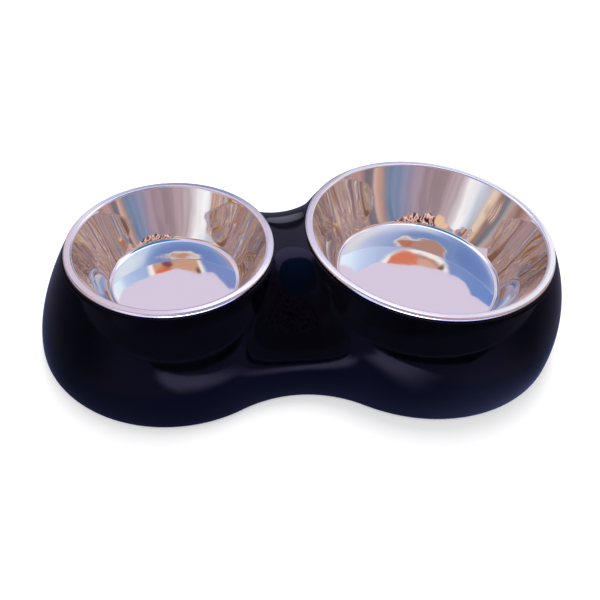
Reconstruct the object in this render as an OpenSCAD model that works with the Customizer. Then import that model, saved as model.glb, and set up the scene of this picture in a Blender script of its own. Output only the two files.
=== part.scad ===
// Double pet bowl: a one-piece moulded base shaped like a figure of eight, and two
// pressed steel bowls of different size that hang in it by their rolled rims.
// Millimetres, +Z up. The part stands on z = 0, centred on its own bounding box.
// The small bowl is on the -X side, the large bowl on the +X side.

/* [Bowls] */
// Outer diameter of the small bowl's rim
small_rim_d = 110; // [96:0.5:124]
// Outer diameter of the large bowl's rim
large_rim_d = 142.2; // [128:0.5:160]
// Inside depth of the small bowl, from the top of its rim
small_depth = 29.4; // [22:0.2:34]
// Inside depth of the large bowl, from the top of its rim
large_depth = 35.4; // [26:0.2:42]
// Diameter of the flat of the small bowl's floor
small_floor_d = 68.2; // [56:0.2:74]
// Diameter of the flat of the large bowl's floor
large_floor_d = 94.6; // [80:0.2:102]
// Inside radius of the corner between a bowl's floor and its wall
corner_r = 4; // [3:0.1:5]
// How many degrees steeper a wall is under its lip than a straight wall would be
lip_steepening = 3.5; // [2:0.5:6]
// How many degrees flatter a wall is at the floor's corner than a straight wall would be
heel_flattening = 9; // [4:0.5:12]
// Thickness of the bowls' steel sheet
sheet_t = 0.7; // [0.5:0.05:0.9]
// Width of the bowls' rims, from the opening to the outer edge
rim_w = 4.6; // [4.3:0.1:5.6]
// Height of the rolled edge under the top of a rim
rim_h = 2.5; // [2.2:0.1:2.8]
// Radius under the bend where a bowl's wall turns out into its rim
lip_r = 0.9; // [0.6:0.05:1.1]

/* [Base] */
// Height of the seats for the rims above the base's bottom edge
seat_h = 57.2; // [52:0.2:70]
// Gap between the two rims
rim_gap = 18.7; // [14:0.1:28]
// How far the base's foot stands out past the small bowl's rim
small_flare = 22.8; // [18:0.1:28]
// How far the base's foot stands out past the large bowl's rim
large_flare = 18.2; // [14:0.1:24]
// How far the rims hang over the line of the walls carried up to the rims' top
rim_overhang = 0.6; // [0.2:0.1:1]
// How much less the base's half width is at the waist than at the small lobe
waist_dip = 12.9; // [8:0.1:18]
// How far the arch of the saddle is cut off by the plane of the seats
crown_trim = 0.4; // [0.2:0.1:1]
// Wall thickness of the base
wall_t = 3; // [2.4:0.1:3.6]
// Rounding of the base's edges around the seats
top_edge_r = 1; // [0.6:0.1:1.2]
// Rounding of the base's bottom edge
foot_edge_r = 0.8; // [0.5:0.1:1.4]
// Clearance all round between a bowl's wall and its hole in the base
bowl_gap = 0.5; // [0.35:0.05:0.8]

/* [Feet] */
// Diameter of a rubber foot's pad
pad_d = 10; // [8:0.2:12]
// How far the pads stand out under the base's bottom edge
pad_out = 1.2; // [0.8:0.1:2]
// How deep a pad is let into its boss
pad_in = 1; // [0.6:0.1:1.6]
// Diameter of the plug that holds a foot
plug_d = 5; // [4:0.1:6]
// Length of the plug above its pad
plug_l = 5; // [3.5:0.1:6]
// Clearance round a foot in its boss
foot_gap = 0.1; // [0.05:0.05:0.2]
// Wall of a boss around the pad
boss_wall = 1.8; // [1.4:0.1:2.4]
// Depth of a boss above the plug's end
boss_cap = 1.6; // [1.2:0.1:2.4]
// How far a boss reaches into the wall beside it
boss_bite = 0.5; // [0.3:0.1:0.8]

/* [Hidden] */

// Roundness of the bowls, holes and feet
$fn = 96;
// Overrun of a cut past the face that it opens
cut = 1;

// Fall of each lobe's wall, from straight (1) to more and more bulging
small_bulge_power = 1.5;
large_bulge_power = 2.1;

// Turns of the feet about the centre of their lobe, from the outer end
foot_turns = [-80, 0, 80];

// Radii, the height of the rims' top over the base's edge, and the bowls' places
small_rim_r = small_rim_d / 2;
large_rim_r = large_rim_d / 2;
small_lobe_r = small_rim_r + small_flare;
large_lobe_r = large_rim_r + large_flare;
spacing = small_rim_r + rim_gap + large_rim_r;
total_l = small_lobe_r + spacing + large_lobe_r;
small_x = small_lobe_r - total_l / 2;
large_x = total_l / 2 - large_lobe_r;
top_h = seat_h + rim_h;

// The waist at the bottom edge, and the height at which its arch would close
waist_half = small_lobe_r - waist_dip;
crown_h = seat_h + crown_trim;

// Bosses for the feet, and how far inside the wall's foot their axes lie
boss_r = pad_d / 2 + foot_gap + boss_wall;
boss_h = pad_in + plug_l + foot_gap + boss_cap;
foot_depth = wall_t - boss_bite + boss_r;

// Points along each arc of a slice, and slices, of the base's outside and inside
outer_counts = [28, 10, 32];
inner_counts = [20, 8, 24];
outer_slices = 11;
inner_slices = 8;
// Steps along a bowl's corner, wall, lip and rolled edge in its half section
corner_steps = 8;
wall_steps = 9;
lip_steps = 5;
bead_steps = 10;
// Half width of the flat under a rim's rolled edge, as a share of the roll's radius
bead_flat_share = 0.5;
// Where the round side of the rolled edge ends, in degrees below the level
bead_end = 60;
// Steps down an edge's rounding, as shares of its radius
edge_shares = [0, 0.12, 0.45, 1];

// Radius of a lobe's wall at height z over the bottom edge
function lobe_r(rim_r, flare, power, z) =
    rim_r - rim_overhang + (flare + rim_overhang) * (1 - pow(z / top_h, power));
function small_r(z) = lobe_r(small_rim_r, small_flare, small_bulge_power, z);
function large_r(z) = lobe_r(large_rim_r, large_flare, large_bulge_power, z);

// Half width of the waist at height z: a quarter of an ellipse from foot to crown
function waist_y(z) = waist_half * sqrt(max(0, 1 - pow(z / crown_h, 2)));

// Radius of the hollow arc that touches both lobes and leaves the waist y half wide
function waist_arc_r(r1, r2, y) =
    let (
        lean = (r1 - r2) / spacing,
        foot = (spacing * spacing + r1 * r1 - r2 * r2) / (2 * spacing),
        half = y - r1 + foot * lean,
        rest = y * y - r1 * r1 + foot * foot
    )
    rest / (sqrt(half * half - lean * lean * rest) - half);

// An arc of n steps about a centre, from angle a to angle b, without its last point
function arc(cx, cy, r, a, b, n) =
    [for (i = [0 : n - 1]) let (t = a + (b - a) * i / n) [cx + r * cos(t), cy + r * sin(t)]];

// Outline of the base at height z, drawn in by inset: the large lobe, the waist at
// the back, the small lobe and the waist at the front, counter-clockwise
function slice(z, inset, counts) =
    let (
        r1 = small_r(z),
        r2 = large_r(z),
        y = waist_y(z),
        rho = waist_arc_r(r1, r2, y),
        cy = y + rho,
        cx = sqrt(pow(r1 + rho, 2) - cy * cy),
        a1 = atan2(cy, cx),
        a2 = atan2(cy, spacing - cx),
        x = small_x + cx
    )
    concat(
        arc(large_x, 0, r2 - inset, a2 - 180, 180 - a2, counts[2]),
        arc(x, cy, rho + inset, -a2, a1 - 180, counts[1]),
        arc(small_x, 0, r1 - inset, a1, 360 - a1, counts[0]),
        arc(x, -cy, rho + inset, 180 - a1, a2, counts[1])
    );

// How far a rounded edge of radius r draws the wall in at depth d below its face
function edge_inset(r, d) = d >= r ? 0 : r - sqrt(max(0, r * r - (r - d) * (r - d)));

// Heights of n slices between two heights, close together near the crown
function heights(top, bottom, n) =
    let (t0 = acos(top / crown_h), t1 = acos(bottom / crown_h))
    [for (i = [1 : n - 1]) crown_h * cos(t0 + (t1 - t0) * i / n)];

// The same list in reverse order
function reversed(list) = [for (i = [len(list) - 1 : -1 : 0]) list[i]];

// A closed solid through a list of outlines of equal length, the topmost first. Its
// ends are ladders of strips across each outline, from its +X end to its -X end.
module stack(rings, counts) {
    n = len(rings[0]);
    m = len(rings);
    end = counts[2] / 2;
    points = [for (ring = rings) for (p = ring) p];
    sides = [
        for (k = [0 : m - 2]) for (i = [0 : n - 1])
            let (j = (i + 1) % n, a = k * n, b = a + n)
            each [[a + i, a + j, b + j], [a + i, b + j, b + i]]
    ];
    strips = [
        for (k = [0 : n / 2 - 1])
            let (a = (end + k) % n, b = (end + k + 1) % n, c = (end - k - 1 + n) % n, d = (end - k + n) % n)
            a == d ? [b, c, a] : (b == c ? [b, d, a] : [b, c, d, a])
    ];
    lid = [for (strip = strips) reversed(strip)];
    floor = [for (strip = strips) [for (i = strip) i + (m - 1) * n]];
    polyhedron(points, concat(lid, sides, floor), convexity = 6);
}

// An outline raised to height z
function lift(outline, z) = [for (p = outline) [p[0], p[1], z]];

// The outside of the base, with its top and bottom edges rounded
module base_outside() {
    top = [for (s = edge_shares) seat_h - s * top_edge_r];
    low = foot_edge_r * reversed(edge_shares);
    middle = heights(seat_h - top_edge_r, foot_edge_r, outer_slices);
    stack([
        for (z = concat(top, middle, low))
            let (inset = edge_inset(top_edge_r, seat_h - z) + edge_inset(foot_edge_r, z))
            lift(slice(z, inset, outer_counts), z)
    ], outer_counts);
}

// The hollow of the base: its outside drawn in and let down by the wall's thickness,
// and carried on below the bottom edge to open it
module base_hollow() {
    middle = heights(seat_h, wall_t, inner_slices);
    stack(concat(
        [for (z = concat([seat_h], middle, [wall_t])) lift(slice(z, wall_t, inner_counts), z - wall_t)],
        [lift(slice(wall_t, wall_t, inner_counts), -cut)]
    ), inner_counts);
}

// Puts its children where one foot stands: beside the inside of its lobe's wall
module at_small_foot(k) {
    translate([small_x, 0, 0]) rotate(180 + foot_turns[k]) translate([small_lobe_r - foot_depth, 0, 0]) children();
}

module at_large_foot(k) {
    translate([large_x, 0, 0]) rotate(foot_turns[k]) translate([large_lobe_r - foot_depth, 0, 0]) children();
}

module at_every_foot() {
    for (k = [0 : len(foot_turns) - 1]) {
        at_small_foot(k) children();
        at_large_foot(k) children();
    }
}

// The pocket of one foot: a shallow seat for the pad and a hole for the plug
module foot_pocket() {
    translate([0, 0, -cut]) cylinder(r = pad_d / 2 + foot_gap, h = cut + pad_in);
    cylinder(r = plug_d / 2 + foot_gap, h = pad_in + plug_l + foot_gap);
}

// A round hole for one bowl, through the top of the base
module bowl_hole(rim_r) {
    depth = wall_t + top_edge_r + cut;
    translate([0, 0, seat_h - depth]) cylinder(r = rim_r - rim_w + sheet_t + bowl_gap, h = depth + cut);
}

// The moulded melamine base, open underneath
module base() {
    color("#0d0f16") translate([0, 0, pad_out]) difference() {
        union() {
            difference() {
                base_outside();
                base_hollow();
            }
            at_every_foot() cylinder(r = boss_r, h = boss_h);
        }
        translate([small_x, 0, 0]) bowl_hole(small_rim_r);
        translate([large_x, 0, 0]) bowl_hole(large_rim_r);
        at_every_foot() foot_pocket();
    }
}

// Lean from the upright of a straight wall that touches the corner's arc and the lip's
function straight_lean(dx, dz, r) = atan2(dx, dz) - asin(r / sqrt(dx * dx + dz * dz));

// Points down a bowl's wall from the point high under the lip, without that point and
// the last one, and moved outwards by offset. The lean grows from top_lean to heel_lean.
function wall_line(high, low, top_lean, heel_lean, offset) =
    let (
        deep = high[1] - low[1],
        rest = high[0] - low[0] - deep * tan(top_lean),
        gain = tan(heel_lean) - tan(top_lean),
        power = gain * deep / rest
    )
    [
        for (i = [1 : wall_steps - 1])
            let (s = i / wall_steps, lean = atan(tan(top_lean) + gain * pow(s, power - 1)))
            [
                high[0] - s * deep * tan(top_lean) - rest * pow(s, power) + offset * cos(lean),
                high[1] - s * deep - offset * sin(lean)
            ]
    ];

// Half section of a bowl, its rim's top at height 0 and its axis at radius 0. The sheet
// has a rounded corner, a wall that bows inwards towards the floor, a lip and a solid bead.
module bowl_section(rim_r, depth, floor_r) {
    lip_top_r = lip_r + sheet_t;
    lip_x = rim_r - rim_w + lip_top_r;
    heel_z = corner_r - depth;
    lean = straight_lean(lip_x - floor_r, -lip_top_r - heel_z, corner_r + lip_top_r);
    top_lean = lean - lip_steepening;
    heel_lean = lean + heel_flattening;
    high = [lip_x - lip_top_r * cos(top_lean), lip_top_r * (sin(top_lean) - 1)];
    low = [floor_r + corner_r * cos(heel_lean), heel_z - corner_r * sin(heel_lean)];
    bead_r = rim_h / 2;
    bead_x = rim_r - bead_r;
    flat = bead_r * bead_flat_share;
    inside = concat(
        [[0, -depth]],
        arc(floor_r, heel_z, corner_r, -90, -heel_lean, corner_steps),
        [low],
        reversed(wall_line(high, low, top_lean, heel_lean, 0)),
        arc(lip_x, -lip_top_r, lip_top_r, 180 - top_lean, 90, lip_steps),
        [[lip_x, 0]]
    );
    bead = concat(
        arc(bead_x, -bead_r, bead_r, 90, -bead_end, bead_steps),
        [[bead_x + flat, -rim_h], [bead_x - flat, -rim_h], [bead_x - bead_r, flat - rim_h]],
        [[bead_x - bead_r, -sheet_t]]
    );
    outside = concat(
        arc(lip_x, -lip_top_r, lip_r, 90, 180 - top_lean, lip_steps),
        [high + sheet_t * [cos(top_lean), -sin(top_lean)]],
        wall_line(high, low, top_lean, heel_lean, sheet_t),
        arc(floor_r, heel_z, corner_r + sheet_t, -heel_lean, -90, corner_steps),
        [[floor_r, -depth - sheet_t], [0, -depth - sheet_t]]
    );
    polygon(concat(inside, bead, outside));
}

module bowl(rim_r, depth, floor_r) {
    translate([0, 0, pad_out + top_h]) rotate_extrude() bowl_section(rim_r, depth, floor_r);
}

// The small pressed steel bowl
module small_bowl() {
    color("#c9c6cf") translate([small_x, 0, 0]) bowl(small_rim_r, small_depth, small_floor_d / 2);
}

// The large pressed steel bowl
module large_bowl() {
    color("#c9c6cf") translate([large_x, 0, 0]) bowl(large_rim_r, large_depth, large_floor_d / 2);
}

// One rubber foot: a pad that stands on the floor and a plug in the boss
module foot() {
    color("#2b2b2e") {
        cylinder(r = pad_d / 2, h = pad_out + pad_in);
        cylinder(r = plug_d / 2, h = pad_out + pad_in + plug_l);
    }
}

module foot_small_back() {
    at_small_foot(0) foot();
}

module foot_small_end() {
    at_small_foot(1) foot();
}

module foot_small_front() {
    at_small_foot(2) foot();
}

module foot_large_front() {
    at_large_foot(0) foot();
}

module foot_large_end() {
    at_large_foot(1) foot();
}

module foot_large_back() {
    at_large_foot(2) foot();
}

base();
small_bowl();
large_bowl();
foot_small_back();
foot_small_end();
foot_small_front();
foot_large_front();
foot_large_end();
foot_large_back();
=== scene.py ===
# %% [markdown]
# # A double pet bowl: moulded melamine and polished steel
#
# A low black stand shaped like a figure of eight holds two steel bowls of different size.
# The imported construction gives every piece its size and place. This notebook works the
# visible surfaces out again as smooth formulas, because a mirror finish shows every facet,
# and then gives each of them the finish of its real material.

# %% Load the frame
import math
import bpy
import numpy as np
from mathutils import Matrix, Vector


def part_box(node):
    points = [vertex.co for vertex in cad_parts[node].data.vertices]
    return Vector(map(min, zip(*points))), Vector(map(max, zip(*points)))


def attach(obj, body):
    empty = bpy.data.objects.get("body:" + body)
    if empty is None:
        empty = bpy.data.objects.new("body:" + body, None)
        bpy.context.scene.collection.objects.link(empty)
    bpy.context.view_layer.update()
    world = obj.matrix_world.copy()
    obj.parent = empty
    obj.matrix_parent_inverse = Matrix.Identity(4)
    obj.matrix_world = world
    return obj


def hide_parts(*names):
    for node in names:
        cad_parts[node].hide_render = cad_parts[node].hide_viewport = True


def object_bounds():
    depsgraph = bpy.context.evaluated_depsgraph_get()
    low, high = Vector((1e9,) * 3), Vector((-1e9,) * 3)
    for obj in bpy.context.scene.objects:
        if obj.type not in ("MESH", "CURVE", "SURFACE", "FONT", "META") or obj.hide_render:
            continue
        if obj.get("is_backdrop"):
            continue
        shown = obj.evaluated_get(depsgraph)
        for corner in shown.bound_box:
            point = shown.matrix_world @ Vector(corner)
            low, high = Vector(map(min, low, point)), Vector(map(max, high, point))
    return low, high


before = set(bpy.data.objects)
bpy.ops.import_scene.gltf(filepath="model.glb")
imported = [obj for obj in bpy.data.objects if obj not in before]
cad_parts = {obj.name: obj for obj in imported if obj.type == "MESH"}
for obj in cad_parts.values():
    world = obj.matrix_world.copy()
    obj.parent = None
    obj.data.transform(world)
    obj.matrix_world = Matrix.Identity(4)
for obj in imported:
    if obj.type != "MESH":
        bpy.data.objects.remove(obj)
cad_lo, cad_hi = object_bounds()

MM = 0.001

# %% [markdown]
# ## Sizes
#
# All lengths are millimetres, as on a drawing, and become metres only when a mesh is made.
# The places of the bowls and the height of their rims are measured on the frame. The other
# sizes are the ones a drawing of the two parts would carry.

# %% Sizes of the bowls and the base
def measured(node):
    """Lowest and highest corner of a node's box, in millimetres."""
    low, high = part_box(node)
    return np.array(low) / MM, np.array(high) / MM


small_low, small_high = measured("small_bowl")
large_low, large_high = measured("large_bowl")
base_low, base_high = measured("base")

SMALL_X = (small_low[0] + small_high[0]) / 2
LARGE_X = (large_low[0] + large_high[0]) / 2
SMALL_RIM_R = 55.0
LARGE_RIM_R = 71.1
RIM_TOP = small_high[2]
SPACING = LARGE_X - SMALL_X

SHEET_T = 0.7
RIM_W = 4.6
RIM_H = 2.5
LIP_R = 0.9
CORNER_R = 4.0
SMALL_DEPTH, SMALL_FLOOR_R = 29.4, 34.1
LARGE_DEPTH, LARGE_FLOOR_R = 35.4, 47.3

BASE_FOOT = base_low[2]
SEAT_H = base_high[2] - BASE_FOOT
TOP_H = SEAT_H + RIM_H
SMALL_FLARE = 22.8
LARGE_FLARE = 18.2
RIM_OVERHANG = 0.6
WAIST_DIP = 12.9
CROWN_TRIM = 0.4
SMALL_BULGE_POWER = 1.5
LARGE_BULGE_POWER = 2.1
WALL_T = 3.0
TOP_EDGE_R = 1.0
FOOT_EDGE_R = 0.8
HOLE_EDGE_R = 0.5
BOWL_GAP = 0.5

print("small bowl at x = %.2f mm, large at %.2f mm, rims at %.2f mm" % (SMALL_X, LARGE_X, RIM_TOP))
print("seat %.2f mm over the foot" % SEAT_H)

# %% [markdown]
# ## The camera
#
# Two round rims and two round floors fix a camera well: each circle is seen as an ellipse
# whose shape gives the tilt, and the difference in size between near and far gives the
# distance. The picture was taken from close by, a little left of the middle, looking down
# at about 45 degrees, with the camera turned about 5 degrees about its own axis.

# %% Place the camera
CAMERA_AZIMUTH = math.radians(-12.715)
CAMERA_ELEVATION = math.radians(45.095)
CAMERA_ROLL = math.radians(5.3055)
CAMERA_DISTANCE = 284.03
CAMERA_TARGET = Vector((-16.13, -49.67, 60.1))
SENSOR_MM = 36.0
LENS_MM = 34.658


def place_camera():
    """Looks at the target from its azimuth and elevation, then rolls about the view."""
    back = Vector((
        math.sin(CAMERA_AZIMUTH) * math.cos(CAMERA_ELEVATION),
        -math.cos(CAMERA_AZIMUTH) * math.cos(CAMERA_ELEVATION),
        math.sin(CAMERA_ELEVATION),
    ))
    right = (-back).cross(Vector((0, 0, 1))).normalized()
    up = back.cross(right)
    turned_right = math.cos(CAMERA_ROLL) * right + math.sin(CAMERA_ROLL) * up
    turned_up = -math.sin(CAMERA_ROLL) * right + math.cos(CAMERA_ROLL) * up
    place = (CAMERA_TARGET + back * CAMERA_DISTANCE) * MM
    data = bpy.data.cameras.new("camera")
    data.lens = LENS_MM
    data.sensor_width = SENSOR_MM
    data.clip_start = 0.01
    camera = bpy.data.objects.new("camera", data)
    bpy.context.scene.collection.objects.link(camera)
    turn = Matrix((turned_right, turned_up, back)).transposed().to_4x4()
    camera.matrix_world = Matrix.Translation(place) @ turn
    bpy.context.scene.camera = camera
    return camera


camera = place_camera()
print("camera at", tuple(round(v, 4) for v in camera.location))

# %% [markdown]
# ## From arrays to meshes
#
# Each surface is a rectangle of points: one parameter runs along a profile and the other
# runs round the piece. Numbering the points row by row lets the faces be written down as
# whole arrays too, and points that two patches share are then merged by their place.

# %% Grid, weld and mesh helpers
def grid_faces(rows, columns, closed=True):
    """Quads of a grid of points numbered row by row, facing the way of row step crossed
    with column step. A closed grid joins its last column to its first."""
    i = np.arange(rows - 1)[:, None] * columns
    j = np.arange(columns if closed else columns - 1)[None, :]
    k = (j + 1) % columns
    return np.stack([i + j, i + columns + j, i + columns + k, i + k], axis=-1).reshape(-1, 4)


def patch(grid, closed=True, flip=False):
    """One rectangle of points (rows, columns, 3) as a list of points and its quads."""
    faces = grid_faces(grid.shape[0], grid.shape[1], closed)
    return grid.reshape(-1, 3), faces[:, ::-1] if flip else faces


def weld(patches, grain=1e-4):
    """Joins patches into one surface: points that round to the same place become one."""
    starts = np.cumsum([0] + [len(points) for points, _ in patches])
    points = np.concatenate([points for points, _ in patches])
    faces = np.concatenate([quads + s for (_, quads), s in zip(patches, starts)])
    keys = np.round(points / grain).astype(np.int64)
    _, first, index = np.unique(keys, axis=0, return_index=True, return_inverse=True)
    return points[first], index.reshape(-1)[faces]


def make_piece(name, patches):
    """A mesh object from patches in millimetres. A quad that lost a corner at a pole
    becomes a triangle, and one that lost two is left out."""
    points, quads = weld(patches)
    distinct = [list(dict.fromkeys(quad)) for quad in quads.tolist()]
    mesh = bpy.data.meshes.new(name)
    mesh.from_pydata((points * MM).tolist(), [], [face for face in distinct if len(face) > 2])
    piece = bpy.data.objects.new(name, mesh)
    bpy.context.scene.collection.objects.link(piece)
    return piece


SHARP_ANGLE = math.radians(32)


def finish_shading(piece):
    """Smooth shading that keeps creases, and a report on how closed the surface is."""
    mesh = piece.data
    mesh.shade_smooth()
    mesh.set_sharp_from_angle(angle=SHARP_ANGLE)
    loose = 2 * len(mesh.edges) - len(mesh.loops)
    print("%s: %d faces, %d open edges" % (piece.name, len(mesh.polygons), loose))


def lift(flat, height):
    """Puts level points (..., 2) at a height."""
    return np.concatenate([flat, np.full(flat.shape[:-1] + (1,), float(height))], axis=-1)


def polar(x, y, radius, degrees):
    """Points on a circle about (x, y) at the given angles."""
    t = np.radians(degrees)
    return np.stack([x + radius * np.cos(t), y + radius * np.sin(t)], axis=-1)


def revolve(profile, x, y, z, columns):
    """Carries a profile of (radius, height) once round an upright axis: a point of the
    surface is (x + r cos t, y + r sin t, z + h)."""
    t = np.linspace(0, 2 * np.pi, columns, endpoint=False)
    r, h = profile[:, 0][:, None], profile[:, 1][:, None]
    return np.stack([x + r * np.cos(t), y + r * np.sin(t), z + h + 0 * t], axis=-1)


print("grid of 3 by 4 points, closed:", len(grid_faces(3, 4)), "quads")

# %% [markdown]
# ## The base's outline at one height
#
# Cut level at any height, the base is two circles, one per lobe, joined at the waist by a
# hollow arc on each side that touches both circles. The circles widen towards the foot.
# The waist widens too, along a quarter of an ellipse, which makes the saddle an arch from
# front to back. Given the two radii and the half width of the waist, the radius of the
# hollow arc is the root of a quadratic equation.

# %% Level outlines of the base
SMALL_COUNT, WAIST_COUNT, LARGE_COUNT = 132, 56, 148
CROWN_H = SEAT_H + CROWN_TRIM


def lobe_radius(height, rim_r, flare, power):
    """The rim's radius less the overhang, plus the flare times (1 - share ** power),
    where the share is the height over that of the rim's top."""
    return rim_r - RIM_OVERHANG + (flare + RIM_OVERHANG) * (1 - (height / TOP_H) ** power)


def arcs(height):
    """Radii of the two lobes and of the hollow arc, its centre, and the angles at which
    it touches the lobes."""
    r1 = lobe_radius(height, SMALL_RIM_R, SMALL_FLARE, SMALL_BULGE_POWER)
    r2 = lobe_radius(height, LARGE_RIM_R, LARGE_FLARE, LARGE_BULGE_POWER)
    waist_half = SMALL_RIM_R + SMALL_FLARE - WAIST_DIP
    y = waist_half * np.sqrt(np.maximum(0, 1 - (height / CROWN_H) ** 2))
    lean = (r1 - r2) / SPACING
    foot = (SPACING ** 2 + r1 ** 2 - r2 ** 2) / (2 * SPACING)
    half = y - r1 + foot * lean
    rest = y ** 2 - r1 ** 2 + foot ** 2
    hollow = rest / (np.sqrt(half ** 2 - lean ** 2 * rest) - half)
    cy = y + hollow
    cx = np.sqrt((r1 + hollow) ** 2 - cy ** 2)
    return r1, r2, hollow, cx, cy, np.arctan2(cy, cx), np.arctan2(cy, SPACING - cx)


def outline(height, inset):
    """Level outlines (heights, points, 2), counter-clockwise from the front of the waist
    at the large lobe, drawn in by the insets. An inset leaves the centres as they are."""
    height, inset = np.asarray(height, float)[:, None], np.asarray(inset, float)[:, None]
    r1, r2, hollow, cx, cy, a1, a2 = arcs(height)

    def sweep(x, y, radius, start, stop, count):
        t = start + (stop - start) * np.arange(count) / count
        return np.stack([x + radius * np.cos(t), y + radius * np.sin(t)], axis=-1)

    return np.concatenate([
        sweep(LARGE_X, 0, r2 - inset, a2 - np.pi, np.pi - a2, LARGE_COUNT),
        sweep(SMALL_X + cx, cy, hollow + inset, -a2, a1 - np.pi, WAIST_COUNT),
        sweep(SMALL_X, 0, r1 - inset, a1, 2 * np.pi - a1, SMALL_COUNT),
        sweep(SMALL_X + cx, -cy, hollow + inset, np.pi - a1, a2, WAIST_COUNT),
    ], axis=1)


foot_line = outline([0.0], [0.0])[0]
print("foot %.1f by %.1f mm" % tuple(foot_line.max(0) - foot_line.min(0)))

# %% [markdown]
# ## The base's wall
#
# One profile gives the whole wall: from the seats over the rounded shoulder, down the
# outside, round the foot, and up the inside to the ceiling of the hollow. Each row of the
# surface is an outline with three numbers: the height at which the shape is read, how far
# it is drawn in, and the height at which it lies. The inside is the outside drawn in and
# let down by the wall's thickness.

# %% Rows of the wall
SHOULDER_ROWS, OUTSIDE_ROWS, EDGE_ROWS, RING_ROWS, INSIDE_ROWS = 9, 92, 7, 4, 44


def quarter(radius, count):
    """Depth below a face and distance from a wall along a quarter-round edge."""
    t = np.linspace(0, np.pi / 2, count)
    return radius * (1 - np.cos(t)), radius * (1 - np.sin(t))


def arch(top, bottom, count):
    """Heights that are even steps of angle on the saddle's arch, so that rows crowd
    together near its crown."""
    ends = np.arccos(np.array([top, bottom]) / CROWN_H)
    return CROWN_H * np.cos(np.linspace(*ends, count))


def wall_rows():
    """Rows of (height of the shape, inset, height of the row), from the seats' edge
    outside to the ceiling's edge inside."""
    drop, back = quarter(TOP_EDGE_R, SHOULDER_ROWS)
    shoulder = np.stack([SEAT_H - drop, back, SEAT_H - drop], -1)
    z = arch(SEAT_H - TOP_EDGE_R, FOOT_EDGE_R, OUTSIDE_ROWS)[1:-1]
    outside = np.stack([z, 0 * z, z], -1)
    rise, back = quarter(FOOT_EDGE_R, EDGE_ROWS)
    foot = np.stack([rise, back, rise], -1)[::-1]
    t = np.linspace(FOOT_EDGE_R, WALL_T, RING_ROWS)[1:]
    ring = np.stack([t, t, 0 * t], -1)
    z = arch(WALL_T, SEAT_H, INSIDE_ROWS)[1:]
    inside = np.stack([z, WALL_T + 0 * z, z - WALL_T], -1)
    return np.concatenate([shoulder, outside, foot, ring, inside])


rows = wall_rows()
wall = outline(rows[:, 0], rows[:, 1])
levels = np.repeat(rows[:, None, 2:], wall.shape[1], axis=1) + BASE_FOOT
wall = np.concatenate([wall, levels], axis=-1)
print("wall: %d rows of %d points" % wall.shape[:2])

# %% [markdown]
# ## The seats, the holes and the neck between them
#
# The level top is the outline less two round holes. It splits into three patches that
# share their edges: a ring about each hole, and between the holes a neck with four curved
# sides, filled by a Coons patch, the usual blend of four boundary curves. The ceiling of
# the hollow is the same three patches lower down, and short round walls join the two.

# %% Level patches round the holes
NECK_COUNT = 36
RING_SHARES = np.array([0, 0.06, 0.3, 0.7, 0.94, 1])
small_turn, large_turn = np.degrees(arcs(SEAT_H)[-2:])


def hole_angles(count, turn, heading):
    """Angles once round a hole: along the lobe, and then back across the neck, whose
    direction is the heading. The two runs meet at the neck's corners."""
    lobe = heading + np.linspace(turn, 360 - turn, count + 1)
    neck = heading + np.linspace(-turn, turn, NECK_COUNT + 1)
    return lobe, neck


def hole_radius(rim_r):
    """The bowl's outer radius just under its rim, plus a gap."""
    return rim_r - RIM_W + SHEET_T + BOWL_GAP


HOLES = (
    (SMALL_X, hole_radius(SMALL_RIM_R), hole_angles(SMALL_COUNT, small_turn, 0)),
    (LARGE_X, hole_radius(LARGE_RIM_R), hole_angles(LARGE_COUNT, large_turn, 180)),
)


def coons(back, front, left, right):
    """Coons patch: the blend of two opposite curves, plus the blend of the other two,
    less the bilinear blend of the four corners."""
    u = np.linspace(0, 1, len(back))[None, :, None]
    v = np.linspace(0, 1, len(left))[:, None, None]
    along = (1 - v) * back[None] + v * front[None]
    across = (1 - u) * left[:, None] + u * right[:, None]
    corners = ((1 - v) * ((1 - u) * back[0] + u * back[-1])
               + v * ((1 - u) * front[0] + u * front[-1]))
    return along + across - corners


def level_patches(edge, height, edge_r, up):
    """Rings and neck between one outline and the two holes, whose edges are drawn back
    by edge_r. They face up or down."""
    closed = np.concatenate([edge, edge[:1]])
    large_arc, back_arc, small_arc, front_arc = np.split(
        closed, np.cumsum([LARGE_COUNT, WAIST_COUNT, SMALL_COUNT]))
    lobes = (np.concatenate([small_arc, front_arc[:1]]), np.concatenate([large_arc, back_arc[:1]]))
    share = RING_SHARES[:, None, None]
    rings = [
        (1 - share) * lobe[None] + share * polar(x, 0, r + edge_r, angles[0])[None]
        for lobe, (x, r, angles) in zip(lobes, HOLES)
    ]
    sides = [polar(x, 0, r + edge_r, angles[1]) for x, r, angles in HOLES]
    back = np.concatenate([rings[0][::-1, 0], back_arc[::-1][:-1], rings[1][:, -1]])
    front = np.concatenate([rings[0][::-1, -1], front_arc[1:-1], rings[1][:, 0]])
    neck = coons(back, front, sides[0][::-1], sides[1])
    patches = [patch(lift(ring, height), closed=False, flip=up) for ring in rings]
    return patches + [patch(lift(neck, height), closed=False, flip=not up)]


def hole_walls(top, bottom):
    """The rounded edge and the straight wall of each hole, facing its axis."""
    drop, back = quarter(HOLE_EDGE_R, 5)
    depths = np.concatenate([top - drop, [bottom]])
    radii = np.concatenate([back, [0]])
    walls = []
    for x, r, (lobe, neck) in HOLES:
        angles = np.concatenate([lobe[:-1], neck[:-1]])
        grid = np.stack([lift(polar(x, 0, r + b, angles), z) for b, z in zip(radii, depths)])
        walls.append(patch(grid, flip=True))
    return walls


print("the neck spans %.0f degrees of the small hole and %.0f of the large" % (
    2 * small_turn, 2 * large_turn))

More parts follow.
